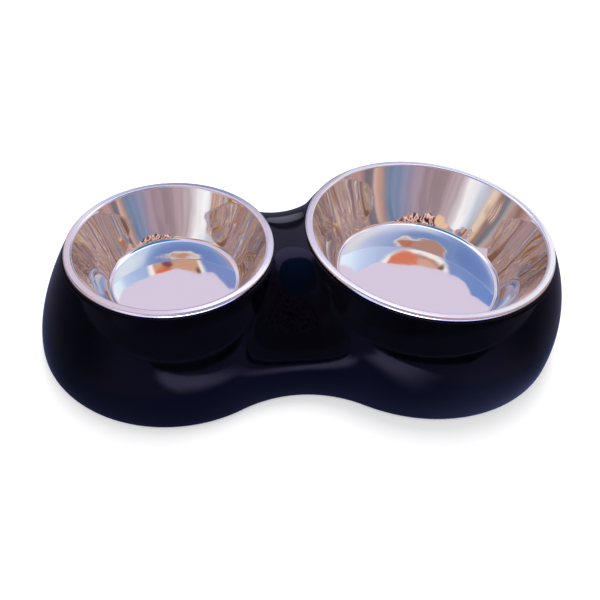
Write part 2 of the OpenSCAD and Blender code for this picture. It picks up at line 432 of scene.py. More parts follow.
# %% [markdown]
# ## The base
#
# The moulding is one closed skin: the wall's rows, the level top, the ceiling of the
# hollow and the walls of the two holes. Six bosses for the feet stand inside the foot of
# the wall. They are plain turned shapes, so a Boolean modifier joins them to the wall and
# cuts their pockets, and is applied at once so that the piece is a plain mesh again.

# %% Build the base
PAD_D, PAD_OUT, PAD_IN = 10.0, 1.2, 1.0
PLUG_D, PLUG_L, FOOT_GAP = 5.0, 5.0, 0.1
BOSS_WALL, BOSS_CAP, BOSS_BITE, BOSS_EDGE_R = 1.8, 1.6, 0.5, 0.4
BOSS_R = PAD_D / 2 + FOOT_GAP + BOSS_WALL
BOSS_H = PAD_IN + PLUG_L + FOOT_GAP + BOSS_CAP
FOOT_COLUMNS = 64
CUT_BELOW = 1.0

foot_places = {
    "foot_%s_%s" % (lobe, side): polar(x, 0, lobe_r - WALL_T + BOSS_BITE - BOSS_R, degrees)
    for lobe, x, lobe_r, sides in (
        ("small", SMALL_X, SMALL_RIM_R + SMALL_FLARE,
         (("back", 100), ("end", 180), ("front", 260))),
        ("large", LARGE_X, LARGE_RIM_R + LARGE_FLARE,
         (("front", -80), ("end", 0), ("back", 80))))
    for side, degrees in sides
}


def turned(profile, z):
    """The same profile turned about the axis of every foot, from its top down."""
    return [
        patch(revolve(np.array(profile, float), x, y, z, FOOT_COLUMNS))
        for x, y in foot_places.values()
    ]


def combine(piece, name, patches, operation):
    """Joins closed turned shapes to a piece, or cuts them out of it."""
    tool = make_piece(name, patches)
    boolean = piece.modifiers.new(name, "BOOLEAN")
    boolean.operation = operation
    boolean.solver = "EXACT"
    boolean.object = tool
    bpy.context.view_layer.update()
    evaluated = piece.evaluated_get(bpy.context.evaluated_depsgraph_get())
    result = bpy.data.meshes.new_from_object(evaluated)
    piece.modifiers.clear()
    piece.data = result
    bpy.data.objects.remove(tool)


top_z, ceiling_z = BASE_FOOT + SEAT_H, BASE_FOOT + SEAT_H - WALL_T
base = make_piece("moulded_stand", [patch(wall)]
                  + level_patches(wall[0, :, :2], top_z, HOLE_EDGE_R, True)
                  + level_patches(wall[-1, :, :2], ceiling_z, 0, False)
                  + hole_walls(top_z, ceiling_z))
drop, back = quarter(BOSS_EDGE_R, 4)
boss = [(0, BOSS_H)] + list(zip(BOSS_R - back, BOSS_H - drop)) + [(BOSS_R, 0), (0, 0)]
combine(base, "bosses", turned(boss, BASE_FOOT), "UNION")
pad_r, plug_r = PAD_D / 2 + FOOT_GAP, PLUG_D / 2 + FOOT_GAP
plug_top = PAD_IN + PLUG_L + FOOT_GAP
pocket = [(0, plug_top), (plug_r, plug_top), (plug_r, PAD_IN), (pad_r, PAD_IN),
          (pad_r, -CUT_BELOW), (0, -CUT_BELOW)]
combine(base, "pockets", turned(pocket, BASE_FOOT), "DIFFERENCE")
finish_shading(base)

# %% [markdown]
# ## The bowls
#
# Each bowl is pressed from one disc of 0.7 mm stainless sheet: a floor, a rounded corner,
# a wall that leans outwards, a flat rim, and an edge rolled under so that it isn't sharp.
# The wall is steepest at the rim and bends inwards more and more towards the floor.
# Turning the section of the sheet about the axis gives the bowl. What a mirror shows
# depends on slopes more than on places, which is how the wall's slopes were found: each
# stripe of the surroundings runs unbroken from the rim to the floor.

# %% Section of a bowl
ROLL_R = RIM_H / 2
ROLL_TURN = 265
LIP_STEEPENING = math.radians(3.5)
HEEL_FLATTENING = math.radians(9)
TIP_OUT = 0.3 * SHEET_T
FLOOR_STEPS, CORNER_STEPS, WALL_STEPS, LIP_STEPS, SHELF_STEPS, ROLL_STEPS = 60, 22, 32, 12, 5, 28


def turn_points(x, z, radius, start, stop, count):
    """Points on an arc of the section, as (radius from the axis, height)."""
    t = np.radians(np.linspace(start, stop, count))
    return np.stack([x + radius * np.cos(t), z + radius * np.sin(t)], axis=-1)


def wall_curve(high, low, top_lean, heel_lean, count):
    """Points and leans at even steps up the wall. Below the lip the radius falls by
    depth x tan(top_lean) plus a power of the share of the depth, and the power is the one
    that gives the wall its heel_lean where it meets the floor's corner."""
    deep = high[1] - low[1]
    rest = high[0] - low[0] - deep * math.tan(top_lean)
    gain = math.tan(heel_lean) - math.tan(top_lean)
    power = gain * deep / rest
    share = np.linspace(1, 0, count)
    radius = high[0] - share * deep * math.tan(top_lean) - rest * share ** power
    lean = np.arctan(math.tan(top_lean) + gain * share ** (power - 1))
    return np.stack([radius, high[1] - share * deep], axis=-1), lean


def bowl_section(rim_r, depth, floor_r):
    """The sheet's inner face from the axis out to the end of the roll, and its outer
    face back again, one sheet's thickness away along the normals."""
    lip_top_r = LIP_R + SHEET_T
    lip = np.array([rim_r - RIM_W + lip_top_r, -lip_top_r])
    heel = np.array([floor_r, CORNER_R - depth])
    # Lean of a straight wall that would touch the corner's arc and the lip's
    dx, dz = lip - heel
    lean = math.atan2(dx, dz) - math.asin((CORNER_R + lip_top_r) / math.hypot(dx, dz))
    top_lean, heel_lean = lean - LIP_STEEPENING, lean + HEEL_FLATTENING
    low = heel + CORNER_R * np.array([math.cos(heel_lean), -math.sin(heel_lean)])
    high = lip - lip_top_r * np.array([math.cos(top_lean), -math.sin(top_lean)])
    wall_points, leans = wall_curve(high, low, top_lean, heel_lean, WALL_STEPS)
    outwards = np.stack([np.cos(leans), -np.sin(leans)], axis=-1)
    flat = np.linspace(0, floor_r, FLOOR_STEPS)[:-1]

    def face(offset):
        """One face of the sheet, offset outwards from the inner one."""
        bottom = np.stack([flat, np.full(flat.shape, -depth - offset)], axis=-1)
        bend_end, bead_start = -math.degrees(heel_lean), 180 - math.degrees(top_lean)
        bend = turn_points(*heel, CORNER_R + offset, -90, bend_end, CORNER_STEPS)
        bead = turn_points(*lip, lip_top_r - offset, bead_start, 90, LIP_STEPS)
        roll = turn_points(
            rim_r - ROLL_R, -ROLL_R, ROLL_R - offset, 90, 90 - ROLL_TURN, ROLL_STEPS)
        shelf = np.linspace(bead[-1], roll[0], SHELF_STEPS)[1:-1]
        slope = wall_points + offset * outwards
        return np.concatenate([bottom, bend[:-1], slope, bead[1:], shelf, roll])

    inner, outer = face(0), face(SHEET_T)
    heading = math.radians(-ROLL_TURN)
    onwards = np.array([math.cos(heading), math.sin(heading)])
    tip = (inner[-1] + outer[-1]) / 2 + TIP_OUT * onwards
    return np.concatenate([inner, tip[None], outer[::-1]])


# %% Build the bowls
BOWL_COLUMNS = 288
bowls = {}
for node, name, x, rim_r, depth, floor_r in (
    ("small_bowl", "pressed_bowl_small", SMALL_X, SMALL_RIM_R, SMALL_DEPTH, SMALL_FLOOR_R),
    ("large_bowl", "pressed_bowl_large", LARGE_X, LARGE_RIM_R, LARGE_DEPTH, LARGE_FLOOR_R),
):
    section = bowl_section(rim_r, depth, floor_r)
    bowls[node] = make_piece(name, [patch(revolve(section, x, 0, RIM_TOP, BOWL_COLUMNS))])
    finish_shading(bowls[node])

# %% [markdown]
# ## The feet
#
# Six rubber feet keep the stand from sliding and the melamine off the floor. Each is a
# turned shape: a round pad with softened edges and a shallow ring under it, and a plug
# with a rounded end that is pushed into its boss and holds by friction.

# %% Build the feet
PAD_EDGE_R = 0.5
RING_R, RING_DEEP = 3.2, 0.25
PLUG_EDGE_R = 0.6
EDGE_STEPS, RING_STEPS = 6, 9


def foot_section():
    """Section of one foot from the top of the plug, down its side, out over the pad and
    in under it."""
    pad_r, plug_r, pad_h = PAD_D / 2, PLUG_D / 2, PAD_OUT + PAD_IN
    top = pad_h + PLUG_L
    plug = turn_points(
        plug_r - PLUG_EDGE_R, top - PLUG_EDGE_R, PLUG_EDGE_R, 90, 0, EDGE_STEPS)
    shoulder = turn_points(
        pad_r - PAD_EDGE_R, pad_h - PAD_EDGE_R, PAD_EDGE_R, 90, 0, EDGE_STEPS)
    under = turn_points(pad_r - PAD_EDGE_R, PAD_EDGE_R, PAD_EDGE_R, 0, -90, EDGE_STEPS)
    ring = turn_points(RING_R, 0, RING_DEEP, 0, 180, RING_STEPS)
    return np.concatenate([[[0, top]], plug, [[plug_r, pad_h]], shoulder, under, ring, [[0, 0]]])


feet = {}
for name, (x, y) in foot_places.items():
    grid = revolve(foot_section(), x, y, BASE_FOOT - PAD_OUT, FOOT_COLUMNS)
    feet[name] = make_piece("rubber_" + name, [patch(grid)])
    finish_shading(feet[name])

# %% [markdown]
# ## Colours and nodes
#
# Colours are written as they look on a screen and turned to linear light by one function.
# One helper adds a shader node: plain values go to its sockets, and another node's output
# given in their place is linked. It gives back an output, for the next node to use.

# %% Colour and node helpers
def tone(code):
    """Linear colour of an sRGB hex value."""
    parts = [int(code[i:i + 2], 16) / 255 for i in (1, 3, 5)]
    return (*[c / 12.92 if c <= 0.04045 else ((c + 0.055) / 1.055) ** 2.4 for c in parts], 1.0)


def add(tree, kind, inputs=(), stops=(), out=0, **settings):
    """Adds a node to a tree, sets its properties, its colour ramp's stops (place, then hex
    or a level of grey) and its inputs (a value, a hex colour, or an output to link), and
    gives back one output, or all with None."""
    node = tree.nodes.new("ShaderNode" + kind)
    for key, value in settings.items():
        setattr(node, key, value)
    for index, (place, shade) in enumerate(stops):
        if index > 1:
            node.color_ramp.elements.new(place)
        element = node.color_ramp.elements[index]
        element.position = place
        element.color = tone(shade) if isinstance(shade, str) else (shade, shade, shade, 1)
    for key, value in dict(inputs).items():
        if isinstance(value, bpy.types.NodeSocket):
            tree.links.new(value, node.inputs[key])
        else:
            node.inputs[key].default_value = tone(value) if isinstance(value, str) else value
    return node.outputs if out is None else node.outputs[out]


def new_material(name):
    """An empty node material and its tree."""
    material = bpy.data.materials.new(name)
    material.use_nodes = True
    material.node_tree.nodes.clear()
    return material, material.node_tree


def in_mm(tree, centre=(0, 0, 0)):
    """Object coordinates in millimetres from a centre."""
    return add(tree, "Mapping", {
        "Vector": add(tree, "TexCoord", out="Object"),
        "Location": tuple(-c for c in centre), "Scale": (1000, 1000, 1000)})


def clothe(piece, material, body, slot, *nodes):
    """Gives a piece its material and body, and hides the CAD nodes that it stands for. The slot is
    not used.
    """
    piece.data.materials.clear()
    piece.data.materials.append(material)
    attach(piece, body)
    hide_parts(*nodes)


print("mid grey is", round(tone("#808080")[0], 3))

# %% [markdown]
# ## Polished stainless steel
#
# The inserts are 18/0 stainless steel, pressed and then buffed on a lathe. Buffing leaves
# a mirror with two faults: very fine rings about the axis, and a slight unevenness of the
# sheet that bends what it mirrors. The wall was drawn from the flat sheet, which leaves it
# faintly fluted up and down, and that is why a pressed bowl mirrors a room in streaks.

# %% Steel
# Depths in metres, as the bump node takes them, and lengths in millimetres
FLUTES_DEEP = 0.0002
FLUTES_RISE = 6
DENTS_DEEP = 0.00006
LIP_FROM, LIP_TO = -1.5, -0.8
# Glossy bounces after which the steel glows with its painted mean reflection tone
PAINTED_GLOW_DEPTH = 3.5


def polished_steel(name, x, floor_r):
    """Metallic surface about one bowl's axis. In millimetres from the axis, rings are a
    function of the radius only, and flutes of the direction round the axis."""
    material, tree = new_material(name)
    mm = in_mm(tree, (x, 0, RIM_TOP))
    flat = add(tree, "VectorMath", {0: mm, 1: (1, 1, 0)}, operation="MULTIPLY")
    radius = add(tree, "VectorMath", {0: flat}, operation="LENGTH", out="Value")
    heading = add(tree, "VectorMath", {0: flat}, operation="NORMALIZE")
    height = add(tree, "SeparateXYZ", {0: mm}, out="Z")

    # Buffing rings: the real ones are finer than 0.1 mm, and are drawn 0.6 mm apart to show
    rings = add(tree, "TexNoise", {"W": radius, "Scale": 1.6, "Detail": 3.0},
                noise_dimensions="1D")
    # Flutes round the wall: noise read on a unit circle, drawn out along the height
    long_height = add(tree, "Math", {0: height, 1: 0.012}, operation="MULTIPLY")
    around = add(tree, "VectorMath", {
        0: heading, 1: add(tree, "CombineXYZ", {"Z": long_height})}, operation="ADD")
    flutes = add(tree, "TexNoise", {
        "Vector": around, "Scale": 4.0, "Detail": 1.0, "Roughness": 0.4})
    on_wall = add(tree, "MapRange", {
        "Value": radius, "From Min": floor_r, "From Max": floor_r + FLUTES_RISE})
    fluted = add(tree, "Math", {0: flutes, 1: on_wall}, operation="MULTIPLY")
    # Unevenness of the floor, some 20 mm across
    dents = add(tree, "TexNoise", {"Vector": mm, "Scale": 0.05, "Detail": 2.0, "Roughness": 0.5})
    bump = add(tree, "Bump", {"Height": fluted, "Distance": FLUTES_DEEP})
    bump = add(tree, "Bump", {"Height": dents, "Distance": DENTS_DEEP, "Normal": bump})

    # The rolled lip is not buffed with the inside, and is duller
    rough = add(tree, "MapRange", {"Value": rings, "To Min": 0.02, "To Max": 0.06})
    lip = add(tree, "MapRange", {
        "Value": height, "From Min": LIP_FROM, "From Max": LIP_TO, "To Max": 0.16})
    rough = add(tree, "Math", {0: rough, 1: lip}, operation="ADD")
    # Light that has bounced four times is followed no further: there the steel glows with a
    # painted mean tone, a painted reflection in place of the rest of its path
    last = add(tree, "Math", {
        0: add(tree, "LightPath", out="Glossy Depth"), 1: PAINTED_GLOW_DEPTH}, operation="GREATER_THAN")
    skin = add(tree, "BsdfPrincipled", {
        "Base Color": "#d8d5d6", "Metallic": 1.0, "Roughness": rough, "Normal": bump,
        "Emission Color": "#b79c94", "Emission Strength": last,
    })
    add(tree, "OutputMaterial", {"Surface": skin}, out=None)
    return material


for node, x, floor_r in (
    ("small_bowl", SMALL_X, SMALL_FLOOR_R), ("large_bowl", LARGE_X, LARGE_FLOOR_R),
):
    steel = polished_steel("polished_pressed_steel_" + node.split("_")[0], x, floor_r)
    clothe(bowls[node], steel, node, "pressed_steel", node)
print("steel on", ", ".join(piece.name for piece in bowls.values()))

# %% [markdown]
# ## Moulded melamine
#
# The stand is compression moulded from black melamine in a polished steel mould. The
# resin at the surface is clear and glossy, so the eye sees black depth with reflections
# on it. The mould leaves a faint orange peel, and handling leaves smudges that show only
# as changes of gloss.

# %% Melamine
PEEL_DEEP = 0.000012


def melamine():
    """Black resin: orange peel of about 3 mm, and smudges of about 25 mm."""
    material, tree = new_material("moulded_black_melamine")
    mm = in_mm(tree)
    peel = add(tree, "TexNoise", {"Vector": mm, "Scale": 0.3, "Detail": 1.0})
    smudge = add(tree, "TexNoise", {"Vector": mm, "Scale": 0.04, "Detail": 5.0, "Roughness": 0.6})
    rough = add(tree, "MapRange", {
        "Value": smudge, "From Min": 0.3, "From Max": 0.75, "To Min": 0.04, "To Max": 0.11})
    # Level faces are the glossiest, and the walls are duller
    upright = add(tree, "SeparateXYZ", {0: add(tree, "NewGeometry", out="Normal")}, out="Z")
    gloss = add(tree, "MapRange", {
        "Value": upright, "From Min": 0.9, "From Max": 1.0, "To Min": 0.05, "To Max": 0.25})
    resin = add(tree, "ValToRGB", {"Fac": smudge}, stops=[(0.3, "#020205"), (0.75, "#04050a")])
    skin = add(tree, "BsdfPrincipled", {
        "Base Color": resin, "Roughness": rough, "IOR": 1.5,
        "Specular IOR Level": gloss, "Specular Tint": "#bdb6f2",
        "Normal": add(tree, "Bump", {"Height": peel, "Distance": PEEL_DEEP}),
    })
    add(tree, "OutputMaterial", {"Surface": skin}, out=None)
    return material


clothe(base, melamine(), "base", "moulded_base", "base")
print("melamine on", base.name)

# %% [markdown]
# ## Rubber
#
# The feet are moulded from soft dark rubber. Its mould is sand-blasted so that the pads
# grip, which leaves them matt and finely grained.

# %% Rubber
GRAIN_DEEP = 0.00004


def rubber():
    """Dark grey rubber with a grain of 0.3 mm and a dusty, paler bloom in patches."""
    material, tree = new_material("moulded_grey_rubber")
    mm = in_mm(tree)
    grain = add(tree, "TexNoise", {"Vector": mm, "Scale": 3.0, "Detail": 2.0})
    bloom = add(tree, "TexNoise", {"Vector": mm, "Scale": 0.5, "Detail": 3.0})
    grey = add(tree, "ValToRGB", {"Fac": bloom}, stops=[(0.35, "#242427"), (0.7, "#3a3a3d")])
    skin = add(tree, "BsdfPrincipled", {
        "Base Color": grey,
        "Roughness": add(tree, "MapRange", {"Value": bloom, "To Min": 0.62, "To Max": 0.85}),
        "IOR": 1.52, "Normal": add(tree, "Bump", {"Height": grain, "Distance": GRAIN_DEEP}),
    })
    add(tree, "OutputMaterial", {"Surface": skin}, out=None)
    return material


foot_rubber = rubber()
for node, piece in feet.items():
    clothe(piece, foot_rubber, "base", "foot_rubber", node)
print("rubber on", len(feet), "feet")

# %% [markdown]
# ## Floor and light
#
# The floor is pale and plain. A wide soft lamp above and behind the bowls does most of the
# lighting, a weaker one fills the front, and an even white world fills the rest.

# %% Floor, lamps and world
FLOOR_HALF = 3000
# In metres: where the floor's own glow starts to rise and where it is full, and the height
# at which the lamps are aimed
NEAR_FLOOR, FAR_FLOOR = 0.4, 1.4
LAMP_AIM_Z = 0.05
scene = bpy.context.scene
scene.view_settings.view_transform = "Standard"


def floor():
    """A level square whose paint shows at full white to the camera where it is lit, and
    also far off, where the lamps don't reach."""
    corners = np.array([[-1, -1, 0], [1, -1, 0], [1, 1, 0], [-1, 1, 0]], float) * FLOOR_HALF
    piece = make_piece("floor", [(corners, np.array([[0, 1, 2, 3]]))])
    material, tree = new_material("pale_matt_paint")
    place = add(tree, "TexCoord", out="Object")
    far = add(tree, "VectorMath", {0: place}, operation="LENGTH", out="Value")
    strength = add(tree, "MapRange", {
        "Value": far, "From Min": NEAR_FLOOR, "From Max": FAR_FLOOR,
        "To Min": 0.35, "To Max": 1.0})
    paint = add(tree, "BsdfDiffuse", {"Color": "#e6e6e8"})
    glow = add(tree, "Emission", {"Color": "#ffffff", "Strength": strength})
    pick = add(tree, "MixShader", {
        0: add(tree, "LightPath", out="Is Camera Ray"), 1: paint,
        2: add(tree, "AddShader", {0: paint, 1: glow})})
    add(tree, "OutputMaterial", {"Surface": pick}, out=None)
    piece.data.materials.append(material)
    piece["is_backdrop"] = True


def lamp(name, azimuth, elevation, distance, size, power):
    """A square soft lamp that faces the bowls from an azimuth (clockwise from the back)
    and elevation. Reflections come from the surroundings and not from the lamps."""
    a, e = math.radians(azimuth), math.radians(elevation)
    heading = Vector((math.sin(a) * math.cos(e), math.cos(a) * math.cos(e), math.sin(e)))
    data = bpy.data.lights.new(name, "AREA")
    data.size, data.energy = size, power
    piece = bpy.data.objects.new(name, data)
    scene.collection.objects.link(piece)
    piece.location = heading * distance + Vector((0, 0, LAMP_AIM_Z))
    piece.rotation_euler = heading.to_track_quat("Z", "Y").to_euler()
    piece.visible_glossy = False


def light_world():
    """White to the camera and in reflections, and a modest even light on surfaces."""
    world = bpy.data.worlds.new("studio")
    scene.world = world
    world.use_nodes = True
    tree = world.node_tree
    tree.nodes.clear()
    path = add(tree, "LightPath", out=None)
    shown = path["Is Camera Ray"]
    for kind in ("Is Glossy Ray", "Is Transmission Ray"):
        shown = add(tree, "Math", {0: shown, 1: path[kind]}, operation="MAXIMUM")
    even = add(tree, "Background", {"Color": "#ffffff", "Strength": 0.55})
    white = add(tree, "Background", {"Color": "#ffffff", "Strength": 1.0})
    pick = add(tree, "MixShader", {0: shown, 1: even, 2: white})
    add(tree, "OutputWorld", {"Surface": pick}, out=None)


floor()
lamp("key", azimuth=13, elevation=58, distance=1.6, size=1.0, power=22)
lamp("fill", azimuth=200, elevation=50, distance=2.0, size=1.6, power=8)
light_world()
print("lamps and world are on")

# %% [markdown]
# ## Surroundings for the mirror
#
# Polished steel has no look of its own: it shows the place where it stands. Makers of
# product pictures hang cards round such an object. The tent here does the same. It is a
# dome that only reflections see, with broad soft bands of the colours of a house front
# and sky, and a dark card on the floor round the stand. A real place looks different from
# each point of the steel, because near things shift. A dome can't do that. So it has two
# pictures: light that has met the steel once shows the first, which suits the back walls
# and the rims, and light that has met it more often shows the second.

# %% Tables of the painted surroundings
TENT_R = 330.0
CARD_Z = 0.4
TENT_CENTRE_Z = 50.0
CARD_RINGS, DOME_RINGS, TENT_COLUMNS = 24, 48, 96
TENT_STRENGTH, FRONT_CARD_STRENGTH = 1.45, 12.0
# Share of a turn by which noise shifts the edges of the stripes and of the sky
SWAY = 0.004

# The first number in a row is in degrees clockwise from the back, except in the three
# tables along a noise and in ARCHES. Colours of the stripes of the surroundings under an
# elevation of 30 degrees:
STRIPES = (
    (0, "#cfc5dc"), (74, "#f2f4fc"), (90, "#b79a94"), (97, "#a58a86"), (108, "#b08d8a"),
    (114, "#7c7077"), (121, "#77707a"), (124, "#c9a79e"), (129, "#bc9688"), (133, "#8c8b98"),
    (138, "#7586a3"), (146, "#7c89a6"), (166, "#9a8a98"), (176, "#a18c95"), (189, "#a08b91"),
    (204, "#a7939a"), (215, "#b7a6ab"), (224, "#c6bdc1"), (229, "#f2f1f2"), (236, "#efeff0"),
    (242, "#cfd3dc"), (252, "#c6cbd8"), (258, "#c3b5ae"), (262, "#f0dcc2"), (266, "#dcbda8"),
    (271, "#94776c"), (279, "#6f7079"), (286, "#9a9699"), (290, "#b89a90"), (300, "#8f7068"),
    (316, "#b99a92"), (327, "#cec6dd"),
)
# Small things over the stripes, along a noise: warm ones at the sides, rose ones in the
# middle, and a band of dark and pale ones at the foot of the house front
WARM = (
    (0.0, "#8f6a5c"), (0.14, "#c08f6c"), (0.24, "#f3d9b8"), (0.27, "#5a3d3c"),
    (0.31, "#b79590"), (0.42, "#b59aa2"), (0.49, "#8793b0"), (0.55, "#a9a2b8"),
    (0.59, "#fff2e2"), (0.62, "#cc8350"), (0.67, "#b88e7c"), (0.78, "#cdaaa0"),
    (0.83, "#4f3b40"), (0.86, "#f4d6b8"), (0.92, "#c79a80"), (1.0, "#a8939e"),
)
ROSE = (
    (0.0, "#9c848e"), (0.18, "#c59a86"), (0.28, "#fbe6d2"), (0.31, "#65484c"),
    (0.37, "#c8a9a6"), (0.47, "#dcc5ca"), (0.51, "#7c82a2"), (0.57, "#c3a5a6"),
    (0.62, "#fff6ec"), (0.65, "#bd7a56"), (0.71, "#bf9f9f"), (0.79, "#86696f"),
    (0.84, "#f0cdb0"), (1.0, "#cdb2b8"),
)
CRUMBS = (
    (0.0, "#2a2026"), (0.26, "#3d2c31"), (0.4, "#b9837a"), (0.52, "#f3dfd6"), (0.64, "#d9a692"),
    (0.8, "#a9786c"), (1.0, "#5a4244"),
)
# Elevation at which the stripes end
STRIPES_TO = (
    (0, 60), (255, 60), (264, 42), (275, 38), (290, 24), (300, 14), (318, 8), (328, 6),
    (340, 24), (359, 60),
)
# Elevations between which the small things lie
DETAILS_FROM = (
    (0, 45), (88, 45), (95, 20), (112, 19), (130, 29), (142, 26.5), (160, 26.5), (176, 28),
    (200, 29.5), (212, 31), (222, 34), (236, 36), (243, 32), (250, 28), (262, 25), (272, 20),
    (285, 16), (297, 14), (303, 45), (359, 45),
)
DETAILS_TO = ((0, 50), (100, 58), (120, 72), (200, 71), (225, 60), (298, 56), (359, 50))
# Sky at a height of about 55 degrees, and the elevation at which it begins
SKY = (
    (0, "#b4b0ea"), (14, "#c4c8ee"), (26, "#6f88c3"), (36, "#7793cc"), (42, "#92addd"),
    (47, "#c6d8f4"), (53, "#dce9fa"), (62, "#c8d4f2"), (70, "#b0c0e8"), (78, "#a9bae4"),
    (92, "#c6cbe6"), (104, "#d2c8da"), (265, "#cfc0d0"), (283, "#cdc4dc"), (288, "#7086c4"),
    (305, "#7794cd"), (320, "#86a4d8"), (330, "#a9c3e9"), (336, "#cbe0f6"), (343, "#e4f4fc"),
    (353, "#c4c0ee"),
)
SKY_FROM = ((0, 43), (272, 43), (285, 51), (325, 51), (340, 43), (359, 43))

# The arch's edge in the walls that the floors mirror, as (elevation, degrees), the side
# that lies inside, its colours low and high, and the first and last degree
ARCHES = (
    (((58, 296.5), (62, 292.6), (66, 290.4), (70, 290.0), (73.7, 292.8), (76, 302.5), (78, 325)),
     -1, "#d9a48c", "#d9a48c", (262.8, 331.2)),
    (((58, 81), (62, 77.2), (64.4, 75.7), (68.5, 74.7), (70, 72.7), (71.4, 66), (72.2, 50),
      (73.4, 43), (74.5, 26)),
     1, "#cf8468", "#caa092", (28.8, 97.2)),
)
ARCH_RIM, ARCH_INSIDE, ARCH_SOFT = -1.3, 0.4, 0.3

# Two windows that the level floors mirror: first and last degree, lowest and highest
# elevation, the edge between the pale ground above and the sky below it, the colours below
# the edge, and the arch's patches: (place, half size, slope, softness, colour)
FLOOR_VIEWS = (
    (319, 354, 26, 44.8,
     ((320, 37.5), (323, 35.5), (330, 35.3), (335, 35.6), (338, 35.8), (340, 36.7), (342.5, 38.1),
      (345, 38.3), (347, 38.8), (348.5, 40.2), (349.4, 42.4), (351, 42.9)),
     ((320, "#e6f4fb"), (323.5, "#dcecf8"), (325, "#b4c6e8"), (330, "#9fb2d8"), (344, "#7288bc"),
      (352, "#7b8ec4")),
     (((337.7, 36.6), (7.0, 5.6), 0.2, 0.08, "#f2ece4"),
      ((337.9, 36.4), (5.7, 6.6), 0.2, 0.08, "#c79a80"),
      ((334.7, 36.4), (2.5, 1.9), 0.2, 0.2, "#d26a40"),
      ((335.8, 34.0), (1.2, 0.9), 0.2, 0.4, "#7a4a50"),
      ((343.0, 37.6), (0.7, 0.9), 0.2, 0.5, "#6d5048"))),
    (19, 62, 24, 40.4,
     ((21, 35.4), (23.5, 35.2), (24.5, 36.1), (27, 36), (29, 34), (31, 32.6), (35, 32), (40, 30.6),
      (45, 29.7), (48, 29.6), (50, 29), (53, 29.6), (55, 31), (59, 30.6)),
     ((21, "#e8f4fe"), (24, "#d8e8f8"), (26, "#c3d5f0"), (31, "#abbade"), (46, "#7b91c0"),
      (58, "#6d8ac4")),
     (((39.4, 32.2), (8.4, 4.9), -0.2, 0.08, "#f4eee6"),
      ((39.5, 32.6), (7.2, 4.2), -0.2, 0.08, "#a5796f"),
      ((39.7, 32.9), (6.8, 3.9), -0.2, 0.12, "#cfa28c"),
      ((36.5, 31.4), (3.5, 2.9), -0.2, 0.15, "#d27a5c"),
      ((45.6, 29.2), (0.7, 0.9), -0.2, 0.5, "#6f5a55"))),
)

# Elevation of the pale ground's upper edge, and of the upper edge of a violet ring on the
# dark card
GROUND = (
    (0, 14), (88, 8), (95, 2), (120, 3.5), (130, 5), (150, 8.5), (180, 9.5), (210, 7.5),
    (235, 4), (250, 2.5), (262, 1.5), (285, 2.5), (318, 3), (328, 12), (359, 14),
)
RING = ((0, -1), (130, -1), (140, -4), (150, -7), (205, -6.5), (214, -3), (224, -1), (359, -1))
print(len(STRIPES), "stripes,", len(SKY), "tones of sky")

# %% Paint the surroundings
def round_turn(stops):
    """Stops of a ramp by shares of a turn, from stops by degrees."""
    return [(degrees / 360, shade) for degrees, shade in stops]


def directions(tree):
    """Place from the tent's centre in millimetres, and of the direction to it the share of
    a turn clockwise from the back, the same in degrees, and the elevation in degrees."""
    mm = in_mm(tree, (0, 0, TENT_CENTRE_Z))
    level = add(tree, "VectorMath", {0: mm, 1: (-1, -1, 0)}, operation="MULTIPLY")
    flat = add(tree, "SeparateXYZ", {0: level}, out=None)
    turn = add(tree, "Math", {0: flat["X"], 1: flat["Y"]}, operation="ARCTAN2")
    turn = add(tree, "Math", {0: turn, 1: 1 / (2 * math.pi), 2: 0.5}, operation="MULTIPLY_ADD")
    degrees = add(tree, "Math", {0: turn, 1: 360.0}, operation="MULTIPLY")
    reach = add(tree, "VectorMath", {0: level}, operation="LENGTH", out="Value")
    height = add(tree, "SeparateXYZ", {0: mm}, out="Z")
    rise = add(tree, "Math", {0: height, 1: reach}, operation="ARCTAN2")
    return mm, turn, degrees, add(tree, "Math", {0: rise}, operation="DEGREES")


def product(*shares):
    """Product of some shares. Like the functions below, it adds its nodes to the tree that
    the given outputs belong to."""
    result = 1.0
    for share in shares:
        result = add(share.id_data, "Math", {0: share, 1: result}, operation="MULTIPLY")
    return result


def steps(value, *edges):
    """Product of smooth steps along a value, each from 0 at its first number to 1 at its
    second."""
    return product(*[
        add(value.id_data, "MapRange", {"Value": value, "From Min": start, "From Max": stop},
            interpolation_type="SMOOTHSTEP")
        for start, stop in edges])


def between(value, first, last, soft):
    """1 from the first number to the last and 0 outside, with soft ends."""
    return steps(value, (first - soft, first + soft), (last + soft, last - soft))


def past(value, along, points, span=360, height=90):
    """How far a value lies over a line through points (place, level). The line is a ramp of
    greys along a share of the span, times the height."""
    tree = value.id_data
    line = add(tree, "ValToRGB", {"Fac": along}, stops=[
        (place / span, level / height) for place, level in points])
    line = add(tree, "Math", {0: line, 1: height}, operation="MULTIPLY")
    return add(tree, "Math", {0: value, 1: line}, operation="SUBTRACT")


def spot(degrees, rise, middle, size, soft, slope=0.0):
    """1 inside an ellipse of half the given width and height about its middle, 0 outside.
    A slope shears it by so many degrees of elevation per degree of direction."""
    tree = rise.id_data
    east, up = [
        add(tree, "Math", {0: value, 1: 1 / size[i], 2: -middle[i] / size[i]},
            operation="MULTIPLY_ADD")
        for i, value in enumerate((degrees, rise))]
    up = add(tree, "Math", {0: east, 1: -slope * size[0] / size[1], 2: up},
             operation="MULTIPLY_ADD")
    both = add(tree, "CombineXYZ", {"X": east, "Y": up})
    reach = add(tree, "VectorMath", {0: both}, operation="LENGTH", out="Value")
    return steps(reach, (1 + soft, 1 - soft))


def speckle(place, finer, spread, detail, distortion=0.0):
    """Noise over turn and elevation, made finer by a factor for each, and stretched so that
    its middle part, of the given spread, fills 0 to 1."""
    tree = place.id_data
    grid = add(tree, "VectorMath", {0: place, 1: (*finer, 0)}, operation="MULTIPLY")
    noise = add(tree, "TexNoise", {
        "Vector": grid, "Scale": 1.0, "Detail": detail, "Distortion": distortion})
    return add(tree, "MapRange", {
        "Value": noise, "From Min": 0.5 - spread, "From Max": 0.5 + spread})


